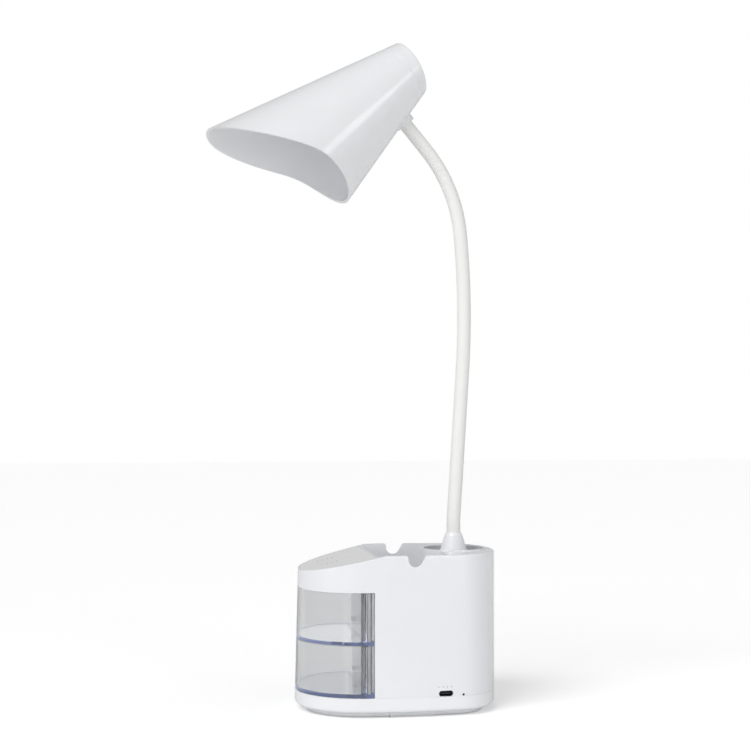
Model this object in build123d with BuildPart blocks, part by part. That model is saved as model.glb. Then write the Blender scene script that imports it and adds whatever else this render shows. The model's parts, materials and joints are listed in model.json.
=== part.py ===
"""Desk lamp on a storage base: two clear drawers that swivel out of the rounded nose, a pen cup
with two phone notches, a touch panel on the sloped roof, a gooseneck and a scooped conical shade.

Millimetres. The origin is the centre of the base on the table, +Z is up, the drawers and the mouth
of the shade point to -Y, and the charging socket is on the +X side.
"""

import os
from math import asin, cos, degrees, radians, sin, sqrt

from build123d import *

os.makedirs("parts", exist_ok=True)

# ---------------------------------------------------------------- driving dimensions of the base
body_length = 132.8
body_width = 92.0
front_bow = 90.0            # radii of the bowed front, rear and sides in plan
rear_bow = 58.0
side_bow = 255.0
front_corner = 42.0         # radii that round the plan's corners
rear_corner = 26.0
wall = 2.2
nose_rake = 0.026           # the nose leans back by this much per millimetre of height

plinth_bottom = 0.6
tray_bottom = 3.8
seam_z = 13.2               # joint between tray and body
bay_top = 80.6
rim_z = 104.2
rim_round = 1.5
skirt_round = 2.2
seam_groove = 0.25          # edge broken along the seam

roof_nose_z = 91.8          # the roof's height at the nose, and its rise per millimetre to the rear
roof_rise = 0.23
bay_back_y = -20.0
cup_front_y = -17.5
cup_floor = 20.0

tower_y = 40.1              # the round tower that carries the arm
tower_r = 21.6
tower_bore = 19.4
ring_z = 104.9
recess_r = 20.3
recess_depth = 3.0
recess_floor = ring_z - recess_depth
service_top = recess_floor - 3.0
cup_rear_y = 28.0           # the cup runs back on both sides of the tower to here
web_y = cup_rear_y + 2.2

notch_y = 6.2               # phone notches in both side walls
notch_r = 4.7
notch_bottom = 96.8
notch_mouth = (1.3, 13.2)
notch_round = 1.8           # the notches' mouths run out into the rim with this radius
notch_flare = 2.6

# ---------------------------------------------------------------- drawers
drawer_gap = 0.15           # set back of the drawers from the body's outline
drawer_wall = 1.8
drawer_floor = 2.2
drawer_rear_y = -23.2
drawer_corner = 4.5
drawer_levels = {"lower": (13.6, 32.8), "upper": (46.9, 33.2)}   # underside and height
knuckle_r = 3.2
pin_r = 1.5
pivot_y = drawer_rear_y - 0.4
catch_rise = 6.0
catch_r = 1.6
catch_x = -24.0

# ---------------------------------------------------------------- sockets, boards and cell
usb_y = 26.2
usb_z = 15.2
usb_size = (8.94, 3.26)
light_y = 38.0
light_z = 14.1
light_r = 0.78
board_top = usb_z - usb_size[1] / 2
board_thick = 1.6
cell_r = 9.2
cell_length = 65.0
cell_z = 19.0

# ---------------------------------------------------------------- gooseneck
neck_r = 4.5
sway_z = 124.0              # height of the lowest joint, above the collar
lean = 5.0                  # the arm leans this far towards -X
first_heading = 4.56        # degrees from upright, positive to the rear
straight_run = 99.7
long_bend = (602.6, 8.96)   # radius and angle of the two bends
top_bend = (105.1, 34.22)
last_run = 50.33            # from the last bend to the axis of the shade
joint_stations = (0.0, 34.0, 100.0, 168.0, 228.0)
ball_r = 3.7
cup_clear = 0.15
shoulder = 1.0              # the link below a joint stops this far short of its centre
lip = 1.2                   # and the link above it starts this far past it

# ---------------------------------------------------------------- shade, measured from where the neck
# meets the axis of the cone: x runs along the axis to the rear, y up through the roof of the cone
head_tilt = 41.0            # the cone's axis stands square to this heading of the arm's plane
head_turn = 4.5             # the head is turned on the neck, and rolled about its own axis
head_roll = 4.1
rib_thick = 1.8             # ribs from the rear bosses to the side walls
cone_r = 25.94
cone_slope = 0.245
shade_wall = 1.8
shade_rear = 19.3
seam_cut = 0.3
cap_centre = (-7.96, 5.25)   # the domed end belongs to a sphere about this point
cap_sphere = 41.3
cap_round = 1.2
boss_r = 7.0
boss_end = -28.3
boss_pad = -18.6
boss_round = 0.5
lip_line = (                # the mouth's outline from below the tip to above it
    (-68.9, -54.0),
    (-67.8, -37.0),
    (-68.4, -24.0),
    (-72.5, -8.0),
    (-82.4, 8.0),
    (-93.8, 24.0),
    (-104.7, 40.0),
    (-111.1, 54.0),
    (-111.5, 62.0),
)
carrier_x = -15.0


def rear_limit(inset):
    """Everything the bowed rear side leaves of the plan."""
    with BuildSketch() as limit:
        with Locations((0, body_length / 2 - rear_bow)):
            Circle(rear_bow - inset)
            Rectangle(2 * (rear_bow - inset), 2 * body_length, align=(Align.CENTER, Align.MAX))
    return limit.sketch


def footprint(inset=0.0):
    """Plan of the base, drawn in by inset: four bowed sides with rounded corners."""
    half_length = body_length / 2
    half_width = body_width / 2
    with BuildSketch() as plan:
        with Locations((half_width - side_bow, 0)):
            Circle(side_bow - inset)
        with Locations((side_bow - half_width, 0)):
            Circle(side_bow - inset, mode=Mode.INTERSECT)
        with Locations((0, front_bow - half_length)):
            Circle(front_bow - inset, mode=Mode.INTERSECT)
        add(rear_limit(inset), mode=Mode.INTERSECT)
        fillet(plan.vertices().sort_by(Axis.Y)[:2], front_corner - inset)
        fillet(plan.vertices().sort_by(Axis.Y)[-2:], rear_corner - inset)
    return plan.sketch


def slice_of(plan, y_from, y_to):
    """The part of a plan between two lines across the base."""
    with BuildSketch() as cut:
        add(plan)
        with Locations((0, (y_from + y_to) / 2)):
            Rectangle(2 * body_width, y_to - y_from, mode=Mode.INTERSECT)
    return cut.sketch


def side_x(y):
    """Distance from the middle to the outside of the side wall at y."""
    return body_width / 2 - side_bow + sqrt(side_bow**2 - y**2)


def roof_z(y):
    """Height of the sloped roof at y."""
    return roof_nose_z + (y + body_length / 2) * roof_rise


nose_y = -body_length / 2 - 4.0
tail_y = body_length / 2 + 4.0
roof_end_y = (rim_z - roof_nose_z) / roof_rise - body_length / 2
rake_below = 5.0


def ahead_of(plan):
    """Everything in front of a plan whose nose leans back above the seam."""
    with BuildPart() as ahead:
        with BuildSketch(Plane.XY.offset(seam_z - rake_below)):
            with Locations((0, (nose_y + roof_end_y) / 2)):
                Rectangle(2 * body_width, roof_end_y - nose_y)
            with Locations((0, -rake_below * nose_rake)):
                add(plan, mode=Mode.SUBTRACT)
        extrude(amount=rim_z - seam_z + 2 * rake_below, dir=(0, nose_rake, 1))
    return ahead.part


def raked(plan):
    """A plan standing on the seam whose front leans back while its sides and rear stay upright."""
    with BuildPart() as block:
        with BuildSketch(Plane.XY.offset(seam_z)):
            add(plan)
        extrude(amount=rim_z + 2 - seam_z)
        add(ahead_of(plan), mode=Mode.SUBTRACT)
    return block.part


outer_plan = footprint()
inner_plan = footprint(wall)


def roof_slab(plan, top_drop, bottom_drop):
    """A plan standing between two planes parallel to the roof, given by their depth below it."""
    with BuildPart() as slab:
        add(raked(plan))
        with BuildSketch(Plane.YZ):
            with BuildLine():
                Polyline(
                    (nose_y, roof_z(nose_y) - bottom_drop),
                    (0, roof_z(0) - bottom_drop),
                    (0, roof_z(0) - top_drop),
                    (nose_y, roof_z(nose_y) - top_drop),
                    close=True,
                )
            make_face()
        extrude(amount=body_width, both=True, mode=Mode.INTERSECT)
    return slab.part


# ================================================================ base: tray, plinth, feet
panel_thick = 2.0
panel_seat = roof_slab(slice_of(footprint(1.1), nose_y, bay_back_y + 1.1), -rim_z, panel_thick)
with BuildPart() as head_space:
    add(raked(slice_of(footprint(3.4), nose_y, bay_back_y)))
    split(bisect_by=Plane.XY.offset(bay_top + wall), keep=Keep.TOP)
head_hollow = head_space.part
cup_plan = slice_of(inner_plan, cup_front_y, cup_rear_y)
under_plan = slice_of(inner_plan, cup_front_y, tail_y)
rear_plan = slice_of(inner_plan, web_y, tail_y)
pivot_x = side_x(pivot_y) - knuckle_r - drawer_gap
front_bosses = [(32.0, -11.0), (-32.0, -11.0)]
rear_bosses = [(30.0, 45.5), (-30.0, 45.5)]
boss_spots = front_bosses + rear_bosses

with BuildPart() as body_shell:
    with BuildSketch(Plane.XY.offset(seam_z)):
        add(outer_plan)
    extrude(amount=rim_z - seam_z)
    fillet(body_shell.faces().sort_by(Axis.Z)[-1].edges(), rim_round)
    chamfer(body_shell.faces().sort_by(Axis.Z)[0].edges(), seam_groove)
    add(ahead_of(outer_plan), mode=Mode.SUBTRACT)
    # the tower's ring stands a little above the rim
    with BuildSketch(Plane.XY.offset(rim_z - rim_round)):
        with Locations((0, tower_y)):
            Circle(tower_r)
    extrude(amount=ring_z - rim_z + rim_round)
    # sloped roof over the drawers, with a seat for the touch panel and a hollow under it
    with BuildSketch(Plane.YZ):
        with BuildLine():
            Polyline(
                (nose_y, roof_z(nose_y)),
                (roof_end_y, rim_z),
                (roof_end_y, 2 * rim_z),
                (nose_y, 2 * rim_z),
                close=True,
            )
        make_face()
    extrude(amount=body_width, both=True, mode=Mode.SUBTRACT)
    add(panel_seat, mode=Mode.SUBTRACT)
    add(head_hollow, mode=Mode.SUBTRACT)
    # the drawer bay is open to the front and both sides
    with Locations((0, (nose_y + bay_back_y) / 2, (seam_z + bay_top) / 2 - wall)):
        Box(2 * body_width, bay_back_y - nose_y, bay_top - seam_z + 2 * wall, mode=Mode.SUBTRACT)
    # pen cup, wrapped round the front of the tower
    with BuildSketch(Plane.XY.offset(cup_floor)):
        add(cup_plan)
        with Locations((0, tower_y)):
            Circle(tower_r, mode=Mode.SUBTRACT)
    extrude(amount=rim_z, mode=Mode.SUBTRACT)
    # service space under the cup and up through the tower
    with BuildSketch(Plane.XY.offset(seam_z)):
        add(under_plan)
    extrude(amount=cup_floor - wall - seam_z, mode=Mode.SUBTRACT)
    with BuildSketch(Plane.XY.offset(seam_z)):
        add(rear_plan)
        with Locations((0, tower_y)):
            Circle(tower_bore)
    extrude(amount=service_top - seam_z, mode=Mode.SUBTRACT)
    # recess in the top of the tower, and the hole for the arm
    with BuildSketch(Plane.XY.offset(recess_floor)):
        with Locations((0, tower_y)):
            Circle(recess_r)
    extrude(amount=rim_z, mode=Mode.SUBTRACT)
    with BuildSketch(Plane.XY.offset(service_top - 1)):
        with Locations((0, tower_y)):
            Circle(neck_r + 0.1)
    extrude(amount=rim_z, mode=Mode.SUBTRACT)
    # phone notches through both side walls
    with BuildSketch(Plane.YZ) as notch:
        with BuildLine():
            CenterArc((notch_y, notch_bottom + notch_r), notch_r, 0, 360)
            Line((notch_mouth[0], rim_z), (notch_mouth[1], rim_z))
        make_hull()
        with Locations(((notch_mouth[0] + notch_mouth[1]) / 2, rim_z + 2)):
            Rectangle(notch_mouth[1] - notch_mouth[0] + 2 * notch_flare, 4)
        on_rim = notch.vertices().filter_by_position(Axis.Y, rim_z - 0.01, rim_z + 0.01)
        fillet(on_rim.sort_by(Axis.X)[1:3], notch_round)
    extrude(amount=body_width, both=True, mode=Mode.SUBTRACT)
    # bosses for the case screws
    with BuildSketch(Plane.XY.offset(seam_z)):
        with Locations(*boss_spots):
            Circle(3.6)
    extrude(amount=cup_floor - seam_z)
    # the rear bosses are tall and tied to the wall by ribs
    with BuildSketch(Plane.XY.offset(cup_floor)):
        with Locations(*rear_bosses):
            Circle(3.6)
    extrude(amount=cup_floor)
    with BuildSketch(Plane.XY.offset(seam_z)):
        add(footprint(1.0))
        with Locations((0, rear_bosses[0][1])):
            Rectangle(2 * body_width, rib_thick, mode=Mode.INTERSECT)
            Rectangle(2 * rear_bosses[0][0], rib_thick + 1, mode=Mode.SUBTRACT)
    extrude(amount=2 * cup_floor - seam_z)
    with BuildSketch(Plane.XY.offset(seam_z)):
        with Locations(*boss_spots):
            Circle(1.1)
    extrude(amount=cup_floor - seam_z - 1.5, mode=Mode.SUBTRACT)
    # charging socket and charge light in the +X wall
    with BuildSketch(Plane.YZ.offset(body_width / 4)):
        with Locations((usb_y, usb_z)):
            RectangleRounded(usb_size[0] + 0.6, usb_size[1] + 0.5, (usb_size[1] + 0.5) / 2 - 0.05)
        with Locations((light_y, light_z)):
            Circle(light_r + 0.02)
    extrude(amount=body_width / 2, mode=Mode.SUBTRACT)
    # blind hole for the drawers' pin in the roof of the bay
    with BuildSketch(Plane.XY.offset(bay_top)):
        with Locations((pivot_x, pivot_y)):
            Circle(pin_r + 0.02)
    extrude(amount=wall + 1, mode=Mode.SUBTRACT)

with BuildPart() as base_tray:
    with BuildSketch(Plane.XY.offset(tray_bottom)):
        add(outer_plan)
    extrude(amount=seam_z - tray_bottom)
    fillet(base_tray.faces().sort_by(Axis.Z)[0].edges(), skirt_round)
    chamfer(base_tray.faces().sort_by(Axis.Z)[-1].edges(), seam_groove)
    # electronics well behind the drawers, ballast pocket under them
    with BuildSketch(Plane.XY.offset(tray_bottom + wall)):
        add(slice_of(footprint(wall + 0.2), cup_front_y, tail_y))
    extrude(amount=seam_z, mode=Mode.SUBTRACT)
    with BuildSketch(Plane.XY.offset(tray_bottom)):
        add(slice_of(footprint(9.0), nose_y, bay_back_y))
    extrude(amount=6.8, mode=Mode.SUBTRACT)
    # lip that locates the body, broken for the socket
    with BuildSketch(Plane.XY.offset(tray_bottom + wall)):
        add(slice_of(footprint(wall + 0.2), cup_front_y + 0.3, tail_y))
        add(slice_of(footprint(wall + 1.4), nose_y, tail_y), mode=Mode.SUBTRACT)
        with Locations((body_width / 2, (usb_y + light_y) / 2)):
            Rectangle(body_width / 2, 26, mode=Mode.SUBTRACT)
    extrude(amount=seam_z + 1.6 - tray_bottom - wall)
    # posts for the case screws, counterbored from below
    with BuildSketch(Plane.XY.offset(tray_bottom)):
        with Locations(*boss_spots):
            Circle(3.6)
    extrude(amount=seam_z - tray_bottom)
    with Locations(*[(x, y, tray_bottom) for x, y in boss_spots]):
        Cylinder(1.6, 2 * seam_z, mode=Mode.SUBTRACT)
        Cylinder(2.8, 4.4, mode=Mode.SUBTRACT)
    with BuildSketch(Plane.XY.offset(seam_z - 5)):
        with Locations((pivot_x, pivot_y)):
            Circle(pin_r + 0.02)
    extrude(amount=5, mode=Mode.SUBTRACT)

ballast_top = tray_bottom + 6.5
with BuildPart() as ballast_plate:
    with BuildSketch(Plane.XY.offset(tray_bottom)):
        add(slice_of(footprint(9.4), nose_y, bay_back_y - 0.4))
    extrude(amount=ballast_top - tray_bottom)
    chamfer(ballast_plate.edges().filter_by(Axis.Z, reverse=True).group_by(Axis.Z)[-1], 0.5)

pad_depth = 0.5
foot_strip = (6.0, 29.1)
foot_spots = [(36.0, 5.2), (-36.0, 5.2)]
foot_slots = (-19.3, -9.7)
slot_align = (Align.CENTER, Align.CENTER, Align.MIN)
with BuildPart() as plinth:
    with BuildSketch(Plane.XY.offset(plinth_bottom)):
        add(footprint(6.6))
    extrude(amount=tray_bottom - plinth_bottom)
    chamfer(plinth.faces().sort_by(Axis.Z)[0].edges(), 0.5)
    with BuildSketch(Plane.XY.offset(plinth_bottom)):
        add(footprint(20.0))
        with Locations(*foot_spots):
            Rectangle(*foot_strip)
    extrude(amount=pad_depth, mode=Mode.SUBTRACT)
    # two narrow slots in each side, beside the side feet
    for slot_y in foot_slots:
        with Locations((0, slot_y, plinth_bottom)):
            Box(body_width, 0.6, 2.4, align=slot_align, mode=Mode.SUBTRACT)
    with BuildSketch(Plane.XY.offset(plinth_bottom + pad_depth)):
        add(footprint(7.1))
    extrude(amount=tray_bottom - plinth_bottom - pad_depth)

with BuildPart() as non_slip_pad:
    with BuildSketch():
        add(footprint(20.3))
    extrude(amount=plinth_bottom + pad_depth)

with BuildPart() as side_feet:
    with BuildSketch():
        with Locations(*foot_spots):
            Rectangle(foot_strip[0] - 0.2, foot_strip[1] - 0.2)
    extrude(amount=plinth_bottom + pad_depth)

with BuildPart() as case_screws:
    with BuildSketch(Plane.XY.offset(tray_bottom + 0.2)):
        with Locations(*boss_spots):
            Circle(2.6)
    extrude(amount=2.0)
    with BuildSketch(Plane.XY.offset(tray_bottom + 2.2)):
        with Locations(*boss_spots):
            Circle(1.05)
    extrude(amount=12.0)

# ================================================================ electronics in the base
with BuildPart() as main_board:
    with BuildSketch(Plane.XY.offset(board_top - board_thick)):
        add(slice_of(footprint(wall + 1.6), -6.0, 41.0))
        with Locations((14.0 - body_width, 0)):
            Rectangle(2 * body_width, 2 * body_length, mode=Mode.SUBTRACT)
    extrude(amount=board_thick)

usb_front = side_x(usb_y) - 0.9
with BuildPart() as usb_socket:
    with BuildSketch(Plane.YZ.offset(usb_front)):
        with Locations((usb_y, usb_z)):
            RectangleRounded(usb_size[0], usb_size[1], usb_size[1] / 2 - 0.05)
    extrude(amount=-7.3)
    with BuildSketch(Plane.YZ.offset(usb_front)):
        with Locations((usb_y, usb_z)):
            RectangleRounded(usb_size[0] - 0.6, usb_size[1] - 0.6, usb_size[1] / 2 - 0.35)
    extrude(amount=-6.2, mode=Mode.SUBTRACT)
    with BuildSketch(Plane.YZ.offset(usb_front - 6.4)):
        with Locations((usb_y, usb_z)):
            Rectangle(6.7, 0.7)
    extrude(amount=5.8)

light_front = side_x(light_y)
with BuildPart() as charge_light:
    with BuildSketch(Plane.YZ.offset(light_front - wall - 1.4)):
        with Locations((light_y, light_z)):
            Circle(light_r)
    extrude(amount=wall + 1.2)
    with BuildSketch(Plane.YZ.offset(light_front - wall - 1.4)):
        with Locations((light_y, light_z)):
            Circle(light_r + 0.4)
    extrude(amount=1.0)

cradle_r = 11.2
with BuildPart() as battery_cradle:
    with BuildSketch(Plane.XY.offset(tray_bottom + wall)):
        with Locations((0, tower_y)):
            Circle(cradle_r)
    extrude(amount=cell_z + 11.0 - tray_bottom - wall)
    with BuildSketch(Plane.XY.offset(cell_z)):
        with Locations((0, tower_y)):
            Circle(cell_r + 0.1)
    extrude(amount=20.0, mode=Mode.SUBTRACT)

with BuildPart() as battery_cell:
    with BuildSketch(Plane.XY.offset(cell_z)):
        with Locations((0, tower_y)):
            Circle(cell_r)
    extrude(amount=cell_length)
    with BuildSketch(Plane.XY.offset(cell_z + cell_length)):
        with Locations((0, tower_y)):
            Circle(3.0)
    extrude(amount=1.2)

touch_panel_part = roof_slab(slice_of(footprint(1.2), nose_y, bay_back_y + 1.0), 0.0, panel_thick)
with BuildPart() as touch_panel:
    add(touch_panel_part)

with BuildSketch() as touch_board_plan:
    with Locations((0, -42.0)):
        Rectangle(46, 28)
touch_board_part = roof_slab(touch_board_plan.sketch, panel_thick, panel_thick + 1.2)
with BuildPart() as touch_board:
    add(touch_board_part)

# ================================================================ drawers on their pin
def drawer_form(inset, rear_y, corner, knuckle):
    """Upright form with the nose's outline, its rear far corner rounded, about the pin's knuckle."""
    with BuildSketch() as plan:
        add(slice_of(footprint(inset), nose_y, rear_y))
        fillet(plan.vertices().group_by(Axis.Y)[-1].sort_by(Axis.X)[0], corner)
        with Locations((pivot_x, pivot_y)):
            Circle(knuckle_r + knuckle, mode=Mode.SUBTRACT if knuckle else Mode.PRIVATE)
    return raked(plan.sketch)


drawer_outside = drawer_form(drawer_gap, drawer_rear_y, drawer_corner, 0)
drawer_inside = drawer_form(
    drawer_gap + drawer_wall,
    drawer_rear_y - drawer_wall,
    drawer_corner - drawer_wall,
    drawer_wall,
)


def make_drawer(floor_z, height):
    """A clear tray with the outline of the nose, closed behind, with the pin's knuckle."""
    with BuildPart() as hollow:
        add(drawer_inside)
        split(bisect_by=Plane.XY.offset(floor_z + drawer_floor), keep=Keep.TOP)
    with BuildPart() as tray:
        add(drawer_outside)
        split(bisect_by=Plane.XY.offset(floor_z), keep=Keep.TOP)
        split(bisect_by=Plane.XY.offset(floor_z + height), keep=Keep.BOTTOM)
        with BuildSketch(Plane.XY.offset(floor_z)):
            with Locations((pivot_x, pivot_y)):
                Circle(knuckle_r)
        extrude(amount=height)
        add(hollow.part, mode=Mode.SUBTRACT)
        with BuildSketch(Plane.XY.offset(floor_z)):
            with Locations((pivot_x, pivot_y)):
                Circle(pin_r + 0.06)
        extrude(amount=height, mode=Mode.SUBTRACT)
    return tray.part


def make_catch(floor_z):
    """Soft stop on the back of a drawer, which meets the back of the bay."""
    with BuildPart() as stop:
        with BuildSketch(Plane.XZ.offset(-drawer_rear_y)):
            with Locations((catch_x, floor_z + drawer_floor + catch_rise)):
                Circle(catch_r)
        extrude(amount=drawer_rear_y - bay_back_y + 0.3)
        fillet(stop.faces().sort_by(Axis.Y)[-1].edges(), 0.5)
    return stop.part


drawer_pieces = {}
for level, (floor_z, height) in drawer_levels.items():
    drawer_pieces[f"{level}_drawer"] = make_drawer(floor_z, height)
    drawer_pieces[f"{level}_catch"] = make_catch(floor_z)

with BuildPart() as drawer_pin:
    with BuildSketch(Plane.XY.offset(seam_z - 4.8)):
        with Locations((pivot_x, pivot_y)):
            Circle(pin_r)
    extrude(amount=bay_top + wall - seam_z + 4.8)

# ================================================================ collar, nut and neck
with BuildPart() as arm_collar:
    with BuildSketch(Plane.YZ):
        with BuildLine():
            Polyline(
                (tower_y + neck_r + 0.1, recess_floor),
                (tower_y + 10.5, recess_floor),
                (tower_y + 10.5, recess_floor + 1.0),
                (tower_y + 8.8, recess_floor + 1.8),
                (tower_y + 6.0, 113.2),
                (tower_y + 4.9, 115.2),
                (tower_y + neck_r + 0.1, 115.2),
                close=True,
            )
        make_face()
    revolve(axis=Axis((0, tower_y, 0), (0, 0, 1)))

with BuildPart() as arm_nut:
    with BuildSketch(Plane.XY.offset(service_top)):
        with Locations((0, tower_y)):
            RegularPolygon(7.5, 6)
            Circle(neck_r + 0.02, mode=Mode.SUBTRACT)
    extrude(amount=-4.0)

with BuildPart() as neck_root:
    with BuildSketch(Plane.XY.offset(service_top - 6.5)):
        with Locations((0, tower_y)):
            Circle(neck_r)
    extrude(amount=sway_z - shoulder - service_top + 6.5)
    with Locations((0, tower_y, sway_z)):
        Sphere(ball_r)

# the arm's own plane: x to the rear, y up along the lean
arm_plane = Plane(
    origin=(0, tower_y, sway_z), x_dir=(0, 1, 0), z_dir=(cos(radians(lean)), 0, sin(radians(lean)))
)
with BuildLine() as neck_line:
    rise = PolarLine((0, 0), straight_run, 90 - first_heading)
    long_arc = JernArc(rise @ 1, rise % 1, long_bend[0], long_bend[1])
    top_arc = JernArc(long_arc @ 1, long_arc % 1, top_bend[0], top_bend[1])
    run_in = PolarLine(top_arc @ 1, last_run, direction=top_arc % 1)
neck_wire = arm_plane.from_local_coords(neck_line.wires()[0])
neck_length = neck_wire.length


def on_neck(station):
    """Point this far along the neck's centre line."""
    return neck_wire.position_at(station, position_mode=PositionMode.LENGTH)


def make_link(start, end, has_ball):
    """A length of gooseneck: a cup round the ball below it, and a ball for the next length."""
    with BuildPart() as link:
        with BuildLine() as run:
            add(neck_wire.trim((start + lip) / neck_length, (end - shoulder) / neck_length))
        with BuildSketch(Plane(origin=run.wires()[0] @ 0, z_dir=run.wires()[0] % 0)):
            Circle(neck_r)
        sweep()
        with Locations(on_neck(start)):
            Sphere(ball_r + cup_clear, mode=Mode.SUBTRACT)
        if has_ball:
            with Locations(on_neck(end)):
                Sphere(ball_r)
    return link.part


link_ends = list(joint_stations[1:]) + [neck_length + boss_pad + 4.5 + shoulder]
neck_links = {}
for number, (start, end) in enumerate(zip(joint_stations, link_ends), start=1):
    neck_links[f"neck_link_{number}"] = make_link(start, end, has_ball=number < 5)

# ================================================================ lamp head
axis_point = on_neck(neck_length)
up_neck = (axis_point - on_neck(neck_length - last_run)).normalized()
square_up = arm_plane.y_dir.rotate(Axis((0, 0, 0), arm_plane.z_dir), head_tilt)
rearward = square_up.cross(arm_plane.z_dir).rotate(Axis((0, 0, 0), square_up), head_turn)
shade_plane = Plane(origin=axis_point, x_dir=rearward, z_dir=rearward.cross(square_up))
rolled = shade_plane.z_dir.rotate(Axis((0, 0, 0), rearward), head_roll)
scoop_plane = Plane(origin=axis_point, x_dir=rearward, z_dir=rolled)
shade_axis = Axis(axis_point, rearward)


def boss_plane(distance):
    """Plane across the neck at a distance from the cone's axis."""
    return Plane(origin=axis_point + up_neck * distance, z_dir=up_neck)


def cone_at(x, inset=0.0):
    """Radius of the cone at x, drawn in by a wall."""
    return cone_r - x * cone_slope - inset * sqrt(1 + cone_slope**2)


front_x = -130.0
carrier_thick = 2.0
carrier_r = cone_at(carrier_x + carrier_thick, shade_wall) - 0.15
with BuildPart() as shade:
    with BuildSketch(shade_plane):
        with BuildLine():
            Polyline(
                (shade_rear - seam_cut, cone_at(shade_rear - seam_cut)),
                (front_x, cone_at(front_x)),
                (front_x, cone_at(front_x, shade_wall)),
                (shade_rear, cone_at(shade_rear, shade_wall)),
                (shade_rear, cone_at(shade_rear) - seam_cut),
                close=True,
            )
        make_face()
        # ledge for the lamp carrier
        with BuildLine():
            Polyline(
                (carrier_x + carrier_thick, cone_at(carrier_x + 2, shade_wall / 2)),
                (carrier_x + carrier_thick + 2, cone_at(carrier_x + 4, shade_wall / 2)),
                (carrier_x + carrier_thick + 2, carrier_r - 2.6),
                (carrier_x + carrier_thick, carrier_r - 2.6),
                close=True,
            )
        make_face()
    revolve(axis=shade_axis)
    # boss for the neck, with a flat seat inside
    with BuildSketch(boss_plane(boss_end)):
        Circle(boss_r)
    extrude(amount=boss_pad - boss_end)
    flats = shade.faces().filter_by(GeomType.PLANE)
    fillet(flats.sort_by(Axis(axis_point, up_neck))[0].edges(), boss_round)
    with BuildSketch(boss_plane(boss_end - 1)):
        Circle(neck_r + 0.1)
    extrude(amount=boss_pad - boss_end + 5, mode=Mode.SUBTRACT)
    # scooped mouth
    with BuildSketch(scoop_plane):
        with BuildLine():
            scoop = Spline(lip_line)
            Polyline(scoop @ 1, (front_x - 10, 80), (front_x - 10, -80), (-63, -80), scoop @ 0)
        make_face()
    extrude(amount=80, both=True, mode=Mode.SUBTRACT)


def cap_form(inset):
    """The cone behind the seam, drawn in by inset and closed by the dome."""
    dome_centre = scoop_plane.from_local_coords((*cap_centre, 0))
    with BuildPart() as form:
        with BuildSketch(shade_plane):
            with BuildLine():
                Polyline(
                    (shade_rear, 0),
                    (shade_rear, cone_at(shade_rear, inset)),
                    (45, cone_at(45, inset)),
                    (45, 0),
                    close=True,
                )
            make_face()
        revolve(axis=shade_axis)
        with Locations(dome_centre):
            Sphere(cap_sphere - inset, mode=Mode.INTERSECT)
    return form.part


spigot_r = cone_at(shade_rear, shade_wall) - 0.1
with BuildPart() as rear_cap:
    add(cap_form(0))
    fillet(rear_cap.faces().filter_by(GeomType.SPHERE).edges(), cap_round)
    chamfer(rear_cap.faces().filter_by(GeomType.PLANE).edges(), seam_cut)
    add(cap_form(shade_wall), mode=Mode.SUBTRACT)
    # spigot that fits inside the shade
    with BuildSketch(Plane(origin=shade_plane.from_local_coords((shade_rear - 4, 0, 0)), z_dir=rearward)):
        Circle(spigot_r)
        Circle(spigot_r - 1.6, mode=Mode.SUBTRACT)
    extrude(amount=5.5)

with BuildPart() as led_carrier:
    with BuildSketch(Plane(origin=shade_plane.from_local_coords((carrier_x, 0, 0)), z_dir=rearward)):
        Circle(carrier_r)
        Circle(4.0, mode=Mode.SUBTRACT)
    extrude(amount=carrier_thick)

with BuildPart() as led_board:
    with BuildSketch(Plane(origin=shade_plane.from_local_coords((carrier_x, 0, 0)), z_dir=-rearward)):
        Circle(24.0)
    extrude(amount=1.2)

with BuildPart() as led_chips:
    with BuildSketch(
        Plane(origin=shade_plane.from_local_coords((carrier_x - 1.2, 0, 0)), z_dir=-rearward)
    ):
        with PolarLocations(16.0, 12):
            Rectangle(2.8, 3.5)
        with PolarLocations(7.0, 6):
            Rectangle(2.8, 3.5)
    extrude(amount=0.7)

dome_r = 80.0
with BuildPart() as diffuser:
    with BuildSketch(shade_plane):
        with BuildLine():
            outer = JernArc((carrier_x - 9.0, 0), (0, 1), -dome_r, degrees(asin(26.4 / dome_r)))
            inner = JernArc((carrier_x - 7.6, 0), (0, 1), -dome_r, degrees(asin(25.0 / dome_r)))
            Polyline(outer @ 1, (carrier_x, 26.4), (carrier_x, 25.0), inner @ 1)
            Line(outer @ 0, inner @ 0)
        make_face()
    revolve(axis=shade_axis)

with BuildPart() as head_nut:
    with BuildSketch(boss_plane(boss_pad)):
        RegularPolygon(7.5, 6)
        Circle(neck_r + 0.02, mode=Mode.SUBTRACT)
    extrude(amount=3.5)

# ================================================================ write every piece
pieces = {
    "body_shell": body_shell.part,
    "base_tray": base_tray.part,
    "plinth": plinth.part,
    "non_slip_pad": non_slip_pad.part,
    "side_feet": side_feet.part,
    "ballast_plate": ballast_plate.part,
    "case_screws": case_screws.part,
    "main_board": main_board.part,
    "usb_socket": usb_socket.part,
    "charge_light": charge_light.part,
    "battery_cradle": battery_cradle.part,
    "battery_cell": battery_cell.part,
    "touch_panel": touch_panel.part,
    "touch_board": touch_board.part,
    "drawer_pin": drawer_pin.part,
    "arm_collar": arm_collar.part,
    "arm_nut": arm_nut.part,
    "neck_root": neck_root.part,
    "shade": shade.part,
    "rear_cap": rear_cap.part,
    "led_carrier": led_carrier.part,
    "led_board": led_board.part,
    "led_chips": led_chips.part,
    "diffuser": diffuser.part,
    "head_nut": head_nut.part,
    **drawer_pieces,
    **neck_links,
}
for name, piece in pieces.items():
    piece.label = name
    export_step(piece, f"parts/{name}.step")

print("pivot", round(pivot_x, 3), round(pivot_y, 3))
for station in joint_stations:
    print("joint", on_neck(station))
print("shade axis", axis_point, rearward, up_neck)
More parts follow.
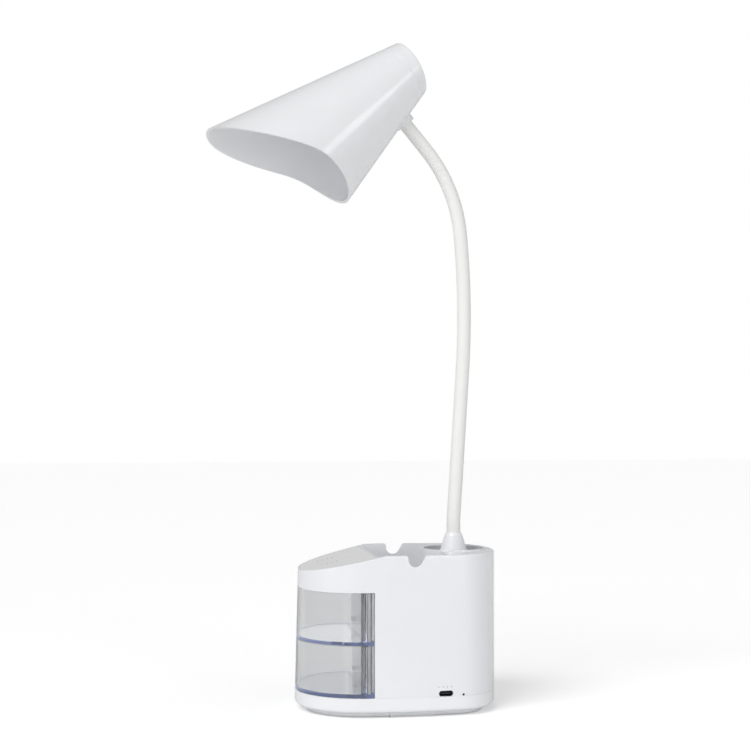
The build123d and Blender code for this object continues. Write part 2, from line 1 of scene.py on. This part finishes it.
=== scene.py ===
# %% [markdown]
# # A desk lamp on a storage base
# The solids of this lamp were made in a CAD program and packed as a fixed frame. This lesson dresses
# them: it sets the camera and the light, gives every solid a finish made of nodes, and adds what is
# easier to make here: the soft sleeve of the gooseneck and the printed dots.

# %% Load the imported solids
import json
from math import cos, radians, sin

import bmesh
import bpy
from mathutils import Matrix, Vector


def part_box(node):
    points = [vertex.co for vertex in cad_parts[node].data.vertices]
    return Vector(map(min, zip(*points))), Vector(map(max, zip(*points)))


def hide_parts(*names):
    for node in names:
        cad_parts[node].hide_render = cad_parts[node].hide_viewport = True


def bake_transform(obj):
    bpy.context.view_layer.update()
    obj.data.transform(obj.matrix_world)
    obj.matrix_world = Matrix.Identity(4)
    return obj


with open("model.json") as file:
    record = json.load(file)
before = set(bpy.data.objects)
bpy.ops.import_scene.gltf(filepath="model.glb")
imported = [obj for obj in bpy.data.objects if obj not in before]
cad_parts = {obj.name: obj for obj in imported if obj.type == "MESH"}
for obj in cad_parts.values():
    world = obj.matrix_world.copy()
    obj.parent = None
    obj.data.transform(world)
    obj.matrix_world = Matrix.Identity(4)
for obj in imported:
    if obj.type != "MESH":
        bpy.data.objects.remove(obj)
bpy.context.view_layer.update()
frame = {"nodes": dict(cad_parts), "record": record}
mm = 0.001

# %% [markdown]
# ## Camera
# The lamp was photographed from its right side, from about a metre away, with the lens level and a
# little above the base. A level camera keeps upright edges parallel, so the picture is framed with
# a small shift instead of a tilt.

# %% Camera at the photograph's angle
camera_data = bpy.data.cameras.new("camera")
camera = bpy.data.objects.new("camera", camera_data)
bpy.context.collection.objects.link(camera)
camera.location = (1.0851, -0.1811, 0.207)
camera.rotation_euler = (radians(90), 0, radians(81.2))
camera_data.lens = 79.2
camera_data.sensor_width = 36.0
camera_data.shift_y = 0.0267
bpy.context.scene.camera = camera
bpy.context.scene.view_settings.view_transform = "Standard"
print("camera", tuple(round(v, 3) for v in camera.location))

# %% [markdown]
# ## Floor and light
# The photograph has a white ground with a faint shadow beside the base. A large pale floor catches
# that shadow. The world is white to the camera, and as a light it is gentler, most of all from
# above. A broad sun and three soft lamps shape the shells without burning them out.

# %% White world
light_from_side = 0.55
light_from_above = 0.36
world = bpy.data.worlds.new("white studio")
bpy.context.scene.world = world
world.use_nodes = True
nodes, links = world.node_tree.nodes, world.node_tree.links
background = nodes["Background"]
background.inputs["Color"].default_value = (1, 1, 1, 1)
path = nodes.new("ShaderNodeLightPath")
seen = nodes.new("ShaderNodeMath")
seen.operation = "MAXIMUM"
links.new(path.outputs["Is Camera Ray"], seen.inputs[0])
links.new(path.outputs["Is Transmission Ray"], seen.inputs[1])
direction = nodes.new("ShaderNodeTexCoord")
rise = nodes.new("ShaderNodeSeparateXYZ")
links.new(direction.outputs["Generated"], rise.inputs["Vector"])
fall = nodes.new("ShaderNodeMapRange")
fall.inputs["From Min"].default_value = 0.15
fall.inputs["From Max"].default_value = 0.9
fall.inputs["To Min"].default_value = light_from_side
fall.inputs["To Max"].default_value = light_from_above
links.new(rise.outputs["Z"], fall.inputs["Value"])
level = nodes.new("ShaderNodeMapRange")
level.inputs["To Max"].default_value = 1.0
links.new(fall.outputs["Result"], level.inputs["To Min"])
links.new(seen.outputs[0], level.inputs["Value"])
links.new(level.outputs["Result"], background.inputs["Strength"])
print("world lights at", light_from_side, "from the side and", light_from_above, "from above")

# %% Pale floor
floor_lift = 0.295  # makes up, for the camera only, what the floor lacks to white
floor_mesh = bpy.data.meshes.new("floor")
floor_form = bmesh.new()
bmesh.ops.create_grid(floor_form, x_segments=1, y_segments=1, size=4.0)
floor_form.to_mesh(floor_mesh)
floor_form.free()
floor = bpy.data.objects.new("floor", floor_mesh)
bpy.context.collection.objects.link(floor)

floor_paint = bpy.data.materials.new("floor paint")
floor_paint.use_nodes = True
nodes, links = floor_paint.node_tree.nodes, floor_paint.node_tree.links
paint = nodes["Principled BSDF"]
paint.inputs["Base Color"].default_value = (0.9, 0.9, 0.9, 1)
paint.inputs["Roughness"].default_value = 0.9
paint.inputs["Specular IOR Level"].default_value = 0.0
paint.inputs["Emission Color"].default_value = (1, 1, 1, 1)
path = nodes.new("ShaderNodeLightPath")
lift = nodes.new("ShaderNodeMath")
lift.operation = "MULTIPLY"
lift.inputs[1].default_value = floor_lift
links.new(path.outputs["Is Camera Ray"], lift.inputs[0])
links.new(lift.outputs[0], paint.inputs["Emission Strength"])
floor_mesh.materials.append(floor_paint)
print("floor", floor.dimensions[:])


# %% Soft lamps
def soft_lamp(name, spot, target, size, watts):
    """A square area lamp at spot that faces target."""
    data = bpy.data.lights.new(name, "AREA")
    data.shape = "SQUARE"
    data.size = size
    data.energy = watts
    lamp = bpy.data.objects.new(name, data)
    bpy.context.collection.objects.link(lamp)
    lamp.location = spot
    lamp.rotation_euler = (Vector(target) - Vector(spot)).to_track_quat("-Z", "Y").to_euler()
    return lamp


def broad_sun(name, direction, spread, strength):
    """A very soft sun that shines along direction and lights the whole floor evenly."""
    data = bpy.data.lights.new(name, "SUN")
    data.angle = radians(spread)
    data.energy = strength
    sun = bpy.data.objects.new(name, data)
    bpy.context.collection.objects.link(sun)
    sun.rotation_euler = Vector(direction).to_track_quat("-Z", "Y").to_euler()
    return sun


broad_sun("key", (-0.6, 0.55, -0.8), 35, 1.45)
soft_lamp("strip", (1.6, 0.75, 0.3), (0, 0.03, 0.15), 0.4, 4.0)
soft_lamp("fill", (0.6, -1.3, 0.35), (0.0, -0.03, 0.36), 0.5, 2.0)
soft_lamp("ridge", (0.615, 0.952, 0.75), (0.011, -0.021, 0.39), 0.22, 0.55)

# %% [markdown]
# ## Finishes
# Most of the lamp is glossy moulded plastic. Even a clean moulding isn't one flat colour: its gloss
# varies a little, and the surface has a very fine waviness that softens reflections. That effect is
# one shader group, placed in each plastic with its own values.


# %% A helper for shader groups
def new_group(title, floats, outputs):
    """An empty shader group with a colour input, named float inputs and named outputs."""
    group = bpy.data.node_groups.new(title, "ShaderNodeTree")
    side = group.interface
    side.new_socket("Colour", in_out="INPUT", socket_type="NodeSocketColor")
    for label, value in floats:
        socket = side.new_socket(label, in_out="INPUT", socket_type="NodeSocketFloat")
        socket.default_value = value
    for label, kind in outputs:
        side.new_socket(label, in_out="OUTPUT", socket_type=kind)
    entry = group.nodes.new("NodeGroupInput")
    leave = group.nodes.new("NodeGroupOutput")
    return group, entry, leave


# %% A helper that mixes two colours
def mix_colour(tree, factor, first, second, blend="MIX"):
    """The colour socket of a mix of two colours, each a socket or a plain colour."""
    mix = tree.nodes.new("ShaderNodeMix")
    mix.data_type = "RGBA"
    mix.blend_type = blend
    tree.links.new(factor, mix.inputs["Factor"])
    for label, colour in (("A", first), ("B", second)):
        if isinstance(colour, tuple):
            mix.inputs[label].default_value = (*colour, 1.0)
        else:
            tree.links.new(colour, mix.inputs[label])
    return mix.outputs["Result"]


# %% Moulded skin: slight change of tone and gloss, and fine waviness
skin_outputs = [
    ("Colour", "NodeSocketColor"),
    ("Roughness", "NodeSocketFloat"),
    ("Height", "NodeSocketFloat"),
]
skin, entry, leave = new_group(
    "moulded skin", [("Scale", 60.0), ("Tone", 0.03), ("Gloss Low", 0.2), ("Gloss High", 0.3)],
    skin_outputs,
)
place = skin.nodes.new("ShaderNodeTexCoord")
cloud = skin.nodes.new("ShaderNodeTexNoise")
cloud.inputs["Detail"].default_value = 3.0
skin.links.new(place.outputs["Object"], cloud.inputs["Vector"])
skin.links.new(entry.outputs["Scale"], cloud.inputs["Scale"])
weight = skin.nodes.new("ShaderNodeMath")
weight.operation = "MULTIPLY"
skin.links.new(cloud.outputs["Fac"], weight.inputs[0])
skin.links.new(entry.outputs["Tone"], weight.inputs[1])
darker = mix_colour(skin, weight.outputs[0], entry.outputs["Colour"], (0.0, 0.0, 0.0), "MULTIPLY")
gloss = skin.nodes.new("ShaderNodeMapRange")
skin.links.new(cloud.outputs["Fac"], gloss.inputs["Value"])
skin.links.new(entry.outputs["Gloss Low"], gloss.inputs["To Min"])
skin.links.new(entry.outputs["Gloss High"], gloss.inputs["To Max"])
fine = skin.nodes.new("ShaderNodeTexNoise")
fine.inputs["Scale"].default_value = 900.0
fine.inputs["Detail"].default_value = 2.0
skin.links.new(place.outputs["Object"], fine.inputs["Vector"])
skin.links.new(darker, leave.inputs["Colour"])
skin.links.new(gloss.outputs["Result"], leave.inputs["Roughness"])
skin.links.new(fine.outputs["Fac"], leave.inputs["Height"])
print("group", skin.name, len(skin.nodes), "nodes")

# %% Drawn metal: fine lines along one direction
drawn, entry, leave = new_group(
    "drawn metal", [("Scale", 500.0), ("Gloss Low", 0.22), ("Gloss High", 0.42)], skin_outputs
)
place = drawn.nodes.new("ShaderNodeTexCoord")
stretch = drawn.nodes.new("ShaderNodeMapping")
stretch.inputs["Scale"].default_value = (1.0, 1.0, 0.05)
drawn.links.new(place.outputs["Object"], stretch.inputs["Vector"])
lines = drawn.nodes.new("ShaderNodeTexNoise")
drawn.links.new(stretch.outputs["Vector"], lines.inputs["Vector"])
drawn.links.new(entry.outputs["Scale"], lines.inputs["Scale"])
tone = mix_colour(drawn, lines.outputs["Fac"], entry.outputs["Colour"], (0.75, 0.75, 0.75), "MULTIPLY")
gloss = drawn.nodes.new("ShaderNodeMapRange")
drawn.links.new(lines.outputs["Fac"], gloss.inputs["Value"])
drawn.links.new(entry.outputs["Gloss Low"], gloss.inputs["To Min"])
drawn.links.new(entry.outputs["Gloss High"], gloss.inputs["To Max"])
drawn.links.new(tone, leave.inputs["Colour"])
drawn.links.new(gloss.outputs["Result"], leave.inputs["Roughness"])
drawn.links.new(lines.outputs["Fac"], leave.inputs["Height"])
print("group", drawn.name, len(drawn.nodes), "nodes")


# %% One function builds every finish
def finish(title, colour, group=skin, bump=0.02, constants=None, **values):
    """A material whose colour, gloss and fine relief come from one of the groups."""
    material = bpy.data.materials.new(title)
    material.use_nodes = True
    tree = material.node_tree
    shader = tree.nodes["Principled BSDF"]
    effect = tree.nodes.new("ShaderNodeGroup")
    effect.node_tree = group
    effect.inputs["Colour"].default_value = (*colour, 1.0)
    for label, value in values.items():
        effect.inputs[label.replace("_", " ")].default_value = value
    relief = tree.nodes.new("ShaderNodeBump")
    relief.inputs["Strength"].default_value = bump
    relief.inputs["Distance"].default_value = 0.0002
    tree.links.new(effect.outputs["Colour"], shader.inputs["Base Color"])
    tree.links.new(effect.outputs["Roughness"], shader.inputs["Roughness"])
    tree.links.new(effect.outputs["Height"], relief.inputs["Height"])
    tree.links.new(relief.outputs["Normal"], shader.inputs["Normal"])
    for label, value in (constants or {}).items():
        shader.inputs[label].default_value = value
    return material


# %% [markdown]
# The white shells are a cool white with a clear gloss. The inset in the roof is a light grey of the
# same gloss, and the sleeve of the neck is a matte, slightly warm white.

# %% Plastics and rubber
shell_gloss = {"Coat Weight": 0.25, "Coat Roughness": 0.08}
paints = {
    "white_plastic": finish("white shell", (0.84, 0.85, 0.87), Gloss_Low=0.16, Gloss_High=0.26,
                            constants=shell_gloss),
    "roof_grey": finish("grey inset", (0.84, 0.84, 0.85), Gloss_Low=0.2, Gloss_High=0.3),
    "neck_white": finish("neck sleeve", (0.83, 0.83, 0.815), bump=0.03, Gloss_Low=0.5, Gloss_High=0.62),
    "pad_rubber": finish("soft pad", (0.78, 0.78, 0.78), bump=0.05, Gloss_Low=0.7, Gloss_High=0.85),
    "dark_plastic": finish("black plastic", (0.015, 0.015, 0.018), Gloss_Low=0.3, Gloss_High=0.45),
    "board_green": finish("green board", (0.02, 0.14, 0.05), Gloss_Low=0.35, Gloss_High=0.5),
    "board_white": finish("white board", (0.82, 0.82, 0.82), Gloss_Low=0.35, Gloss_High=0.5),
    "cell_wrap": finish("cell sleeve", (0.05, 0.18, 0.42), Gloss_Low=0.25, Gloss_High=0.4),
    "diffuser_milk": finish("milky diffuser", (0.86, 0.87, 0.88), Gloss_Low=0.4, Gloss_High=0.55,
                            constants={"Subsurface Weight": 0.2}),
    "led_yellow": finish("chip phosphor", (0.85, 0.68, 0.14), Gloss_Low=0.4, Gloss_High=0.55),
}
print(sorted(paints))

# %% Metals
paints["steel"] = finish("plain steel", (0.6, 0.61, 0.62), group=drawn, constants={"Metallic": 1.0})
paints["heat_sink"] = finish("sheet aluminium", (0.78, 0.79, 0.8), group=drawn,
                             constants={"Metallic": 1.0})
print("metals", paints["steel"].name, paints["heat_sink"].name)

# %% [markdown]
# The drawers are clear plastic. Light that runs along the thick floor of a drawer comes out at its
# edge as a dark blue line, which is the strongest mark of clear plastic in the photograph. A group
# finds those edges, which are upright faces at the height of a floor, and paints that light on
# them: a painted dark blue line and a faint painted glow.

# %% Mask for the floors' edges, where the painted edge light goes
edge_outputs = [("Colour", "NodeSocketColor"), ("Glow", "NodeSocketColor")]
edge, entry, leave = new_group(
    "painted floor edge light",
    [("Lower Bottom", 0.0), ("Lower Top", 0.0), ("Upper Bottom", 0.0), ("Upper Top", 0.0)],
    edge_outputs,
)
for label in ("Painted Edge Line", "Painted Edge Glow"):
    edge.interface.new_socket(label, in_out="INPUT", socket_type="NodeSocketColor")
place = edge.nodes.new("ShaderNodeTexCoord")
height = edge.nodes.new("ShaderNodeSeparateXYZ")
edge.links.new(place.outputs["Object"], height.inputs["Vector"])


def compare(tree, first, second, operation):
    """One comparison or sum of two values, each a socket or a number."""
    step = tree.nodes.new("ShaderNodeMath")
    step.operation = operation
    for slot, value in enumerate((first, second)):
        if isinstance(value, (int, float)):
            step.inputs[slot].default_value = value
        else:
            tree.links.new(value, step.inputs[slot])
    return step.outputs[0]


z = height.outputs["Z"]
bands = []
for level in ("Lower", "Upper"):
    above = compare(edge, z, entry.outputs[level + " Bottom"], "GREATER_THAN")
    below = compare(edge, z, entry.outputs[level + " Top"], "LESS_THAN")
    bands.append(compare(edge, above, below, "MULTIPLY"))
either = compare(edge, bands[0], bands[1], "ADD")
shape = edge.nodes.new("ShaderNodeNewGeometry")
facing = edge.nodes.new("ShaderNodeSeparateXYZ")
edge.links.new(shape.outputs["True Normal"], facing.inputs["Vector"])
steep = compare(edge, facing.outputs["Z"], facing.outputs["Z"], "MULTIPLY")
upright = compare(edge, steep, 0.25, "LESS_THAN")
mask = compare(edge, either, upright, "MULTIPLY")
painted_line = mix_colour(edge, mask, entry.outputs["Colour"], entry.outputs["Painted Edge Line"])
edge.links.new(painted_line, leave.inputs["Colour"])
painted_glow = mix_colour(edge, mask, (0.0, 0.0, 0.0), entry.outputs["Painted Edge Glow"])
edge.links.new(painted_glow, leave.inputs["Glow"])
print("group", edge.name, len(edge.nodes), "nodes")

# %% Clear plastic
clear = bpy.data.materials.new("clear plastic")
clear.use_nodes = True
nodes, links = clear.node_tree.nodes, clear.node_tree.links
shader = nodes["Principled BSDF"]
shader.inputs["Transmission Weight"].default_value = 1.0
shader.inputs["Roughness"].default_value = 0.02
shader.inputs["IOR"].default_value = 1.46
# the group paints a dark blue line and a faint glow on the floors' edges: painted light, in place of
# light carried through the plastic
painted_edge_light = nodes.new("ShaderNodeGroup")
painted_edge_light.node_tree = edge
painted_edge_light.inputs["Colour"].default_value = (0.93, 0.94, 0.95, 1)
painted_edge_light.inputs["Painted Edge Line"].default_value = (0.11, 0.125, 0.2, 1)
painted_edge_light.inputs["Painted Edge Glow"].default_value = (0.085, 0.1, 0.165, 1)
drawer_floor = 2.2 * mm
below_floor = 0.5 * mm
for level in ("Lower", "Upper"):
    drawer_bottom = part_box(level.lower() + "_drawer")[0][2]
    painted_edge_light.inputs[level + " Bottom"].default_value = drawer_bottom - below_floor
    painted_edge_light.inputs[level + " Top"].default_value = drawer_bottom + drawer_floor
links.new(painted_edge_light.outputs["Colour"], shader.inputs["Base Color"])
links.new(painted_edge_light.outputs["Glow"], shader.inputs["Emission Color"])
# this emission is the painted glow of the floors' edges; the drawers are no lamp
shader.inputs["Emission Strength"].default_value = 1.0
paints["clear_plastic"] = clear
print("clear", clear.name)

# %% [markdown]
# The grey inset carries two short rows of dots where a finger slides, and the right wall has four
# faint dots for the charge level. Each row is one use of a small group that measures the distance to
# the nearest of a few evenly spaced points.

# %% Dot print: a short row of round marks
dots, entry, leave = new_group(
    "dot print", [("Last", 3.0), ("Radius", 0.0005)], [("Colour", "NodeSocketColor")]
)
dots.interface.new_socket("Ink", in_out="INPUT", socket_type="NodeSocketColor")
for label in ("Start", "Step"):
    dots.interface.new_socket(label, in_out="INPUT", socket_type="NodeSocketVector")


def vector_step(tree, operation, first, second):
    """One vector operation on two sockets."""
    step = tree.nodes.new("ShaderNodeVectorMath")
    step.operation = operation
    tree.links.new(first, step.inputs[0])
    tree.links.new(second, step.inputs["Scale" if operation == "SCALE" else 1])
    return step


place = dots.nodes.new("ShaderNodeTexCoord").outputs["Object"]
first, pitch = entry.outputs["Start"], entry.outputs["Step"]
away = vector_step(dots, "SUBTRACT", place, first).outputs["Vector"]
along = vector_step(dots, "DOT_PRODUCT", away, pitch).outputs["Value"]
square = vector_step(dots, "DOT_PRODUCT", pitch, pitch).outputs["Value"]
index = compare(dots, compare(dots, along, square, "DIVIDE"), 0.5, "ADD")
index = compare(dots, compare(dots, index, 0.0, "FLOOR"), 0.0, "MAXIMUM")
index = compare(dots, index, entry.outputs["Last"], "MINIMUM")
shift = vector_step(dots, "SCALE", pitch, index).outputs["Vector"]
nearest = vector_step(dots, "SUBTRACT", away, shift).outputs["Vector"]
gap = compare(dots, vector_step(dots, "DOT_PRODUCT", nearest, nearest).outputs["Value"], 0.5, "POWER")
marked = compare(dots, gap, entry.outputs["Radius"], "LESS_THAN")
printed = mix_colour(dots, marked, entry.outputs["Colour"], entry.outputs["Ink"])
dots.links.new(printed, leave.inputs["Colour"])
print("group", dots.name, len(dots.nodes), "nodes")

# %% Painted recess shade: the skin inside a round recess is painted darker, as painted shade
hollow, entry, leave = new_group(
    "painted recess shade", [("Radius", 0.02), ("Top", 0.1), ("Centre Y", 0.0), ("Amount", 0.4)],
    [("Colour", "NodeSocketColor")],
)
spot = hollow.nodes.new("ShaderNodeSeparateXYZ")
hollow.links.new(hollow.nodes.new("ShaderNodeTexCoord").outputs["Object"], spot.inputs["Vector"])
east = compare(hollow, spot.outputs["X"], 2.0, "POWER")
off_centre = compare(hollow, spot.outputs["Y"], entry.outputs["Centre Y"], "SUBTRACT")
north = compare(hollow, off_centre, 2.0, "POWER")
reach = compare(hollow, compare(hollow, east, north, "ADD"), 0.5, "POWER")
inside = compare(hollow, reach, entry.outputs["Radius"], "LESS_THAN")
under = compare(hollow, spot.outputs["Z"], entry.outputs["Top"], "LESS_THAN")
part = compare(hollow, compare(hollow, inside, under, "MULTIPLY"), entry.outputs["Amount"], "MULTIPLY")
painted_shade = mix_colour(hollow, part, entry.outputs["Colour"], (0.1, 0.1, 0.12))
hollow.links.new(painted_shade, leave.inputs["Colour"])
print("group", hollow.name, len(hollow.nodes), "nodes")


# %% Put an extra effect behind a finish's colour
def put_before(material, group, **values):
    """Feeds the finish's colour through one more group."""
    tree = material.node_tree
    skins = [node for node in tree.nodes if node.type == "GROUP" and node.outputs.get("Height")]
    target = skins[0].inputs["Colour"]
    extra = tree.nodes.new("ShaderNodeGroup")
    extra.node_tree = group
    if target.is_linked:
        tree.links.new(target.links[0].from_socket, extra.inputs["Colour"])
    else:
        extra.inputs["Colour"].default_value = target.default_value[:]
    for label, value in values.items():
        extra.inputs[label.replace("_", " ")].default_value = value
    tree.links.new(extra.outputs["Colour"], target)


# %% Finishes of single solids
special = {
    "body_shell": finish("body shell", (0.82, 0.83, 0.855), Gloss_Low=0.16, Gloss_High=0.26,
                         constants=shell_gloss),
    "arm_collar": finish("collar", (0.82, 0.83, 0.85), Gloss_Low=0.25, Gloss_High=0.35,
                         constants=shell_gloss),
    # the USB socket's steel is painted near black: painted shade for the dark inside of the port
    "usb_socket": finish("usb port painted shade", (0.02, 0.02, 0.022), group=drawn),
    "lower_catch": finish("grey catch", (0.42, 0.42, 0.44), Gloss_Low=0.3, Gloss_High=0.45),
}
special["upper_catch"] = special["lower_catch"]
print("special finishes", sorted(special))

# %% The painted recess shade and the dots, in millimetres
tower_y, recess_reach, recess_top = 40.1, 20.5, 104.5
# the skin inside the tower's recess is painted darker grey: painted shade, not a grey plastic
put_before(special["body_shell"], hollow, Radius=recess_reach * mm, Top=recess_top * mm,
           Centre_Y=tower_y * mm)
put_before(special["body_shell"], dots, Ink=(0.4, 0.41, 0.44, 1), Radius=0.45 * mm,
           Start=(45.4 * mm, 21.4 * mm, 19.5 * mm), Step=(-0.3 * mm, 2.87 * mm, 0))
roof_nose_y, roof_nose_z, roof_rise = -66.4, 91.8, 0.23
roof_pitch = 3.24
for across, start in ((-14.1, -49.8), (9.6, -49.6)):
    height = roof_nose_z + (start - roof_nose_y) * roof_rise
    put_before(paints["roof_grey"], dots, Ink=(0.22, 0.23, 0.26, 1), Radius=0.7 * mm,
               Start=(across * mm, start * mm, height * mm),
               Step=(0, roof_pitch * mm, roof_pitch * roof_rise * mm))
print("rows of dots", 3)

# %% Give every solid its finish
for entry in frame["record"]["subparts"]:
    node = frame["nodes"][entry["node"]]
    node.data.materials.clear()
    node.data.materials.append(special.get(entry["node"], paints[entry["material_slot"]]))

# %% [markdown]
# ## The gooseneck
# The real neck is a bendable core in one smooth sleeve. The solids have five stiff lengths on ball
# ends, which is right for motion but shows gaps. Here a round sleeve follows the same centre line.
# It is cut halfway along each length, so each piece of it crosses one joint.

# %% The neck's centre line
neck_runs = (
    (99.7, 0.0),
    (602.6 * radians(8.96), radians(8.96)),
    (105.1 * radians(34.22), radians(34.22)),
    (60.0, 0.0),
)
neck_foot = Vector((0, 40.1, 124.0)) * mm
lean = radians(5)
neck_back = Vector((0, 1, 0))
neck_up = Vector((-sin(lean), 0, cos(lean)))


def neck_point(station):
    """The point this many millimetres along the neck from its lowest joint, in metres."""
    across, up, heading = 0.0, 0.0, radians(90 - 4.56)
    left = station
    for length, turn in neck_runs:
        step = min(left, length)
        bend = turn * step / length
        chord = step if turn == 0 else 2 * (length / turn) * sin(bend / 2)
        across += chord * cos(heading + bend / 2)
        up += chord * sin(heading + bend / 2)
        heading += bend
        left -= step
        if left <= 0:
            break
    return neck_foot + (neck_back * across + neck_up * up) * mm


for station in (0, 34, 100, 168, 228):
    print("joint at", [round(v, 5) for v in neck_point(station)])


# %% Sleeve pieces
def sleeve(name, start, end, step=3.0, radius=4.62 * mm):
    """A round tube along the centre line from one station to another, as a mesh."""
    count = max(2, int(round((end - start) / step))) + 1
    curve = bpy.data.curves.new(name, "CURVE")
    curve.dimensions = "3D"
    curve.bevel_depth = radius
    curve.bevel_resolution = 8
    line = curve.splines.new("POLY")
    line.points.add(count - 1)
    for index in range(count):
        station = start + (end - start) * index / (count - 1)
        spot = neck_point(station) if station > 0 else neck_foot + Vector((0, 0, station * mm))
        line.points[index].co = (*spot, 1.0)
    shape = bpy.data.objects.new(name + " line", curve)
    bpy.context.collection.objects.link(shape)
    bpy.context.view_layer.update()
    mesh = bpy.data.meshes.new_from_object(shape)
    mesh.name = name
    bpy.data.objects.remove(shape)
    tube = bpy.data.objects.new(name, mesh)
    bpy.context.collection.objects.link(tube)
    mesh.materials.clear()
    mesh.materials.append(paints["neck_white"])
    for face in mesh.polygons:
        face.use_smooth = True
    return tube


joint_stations = [0, 34, 100, 168, 228]
sleeve_ends = [-12, 17, 67, 134, 198, 284]
bend_reach = [8, 15, 28, 28, 26]
for number, station in enumerate(joint_stations):
    piece = sleeve(f"neck_sleeve_{number + 1}", sleeve_ends[number], sleeve_ends[number + 1])
    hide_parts(f"neck_link_{number + 1}")
    reach = bend_reach[number]
    lower = neck_point(station - reach) if station > reach else neck_foot - Vector((0, 0, reach * mm))
    neck_point(station + reach)
    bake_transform(piece)
    print(piece.name, len(piece.data.polygons), "faces")
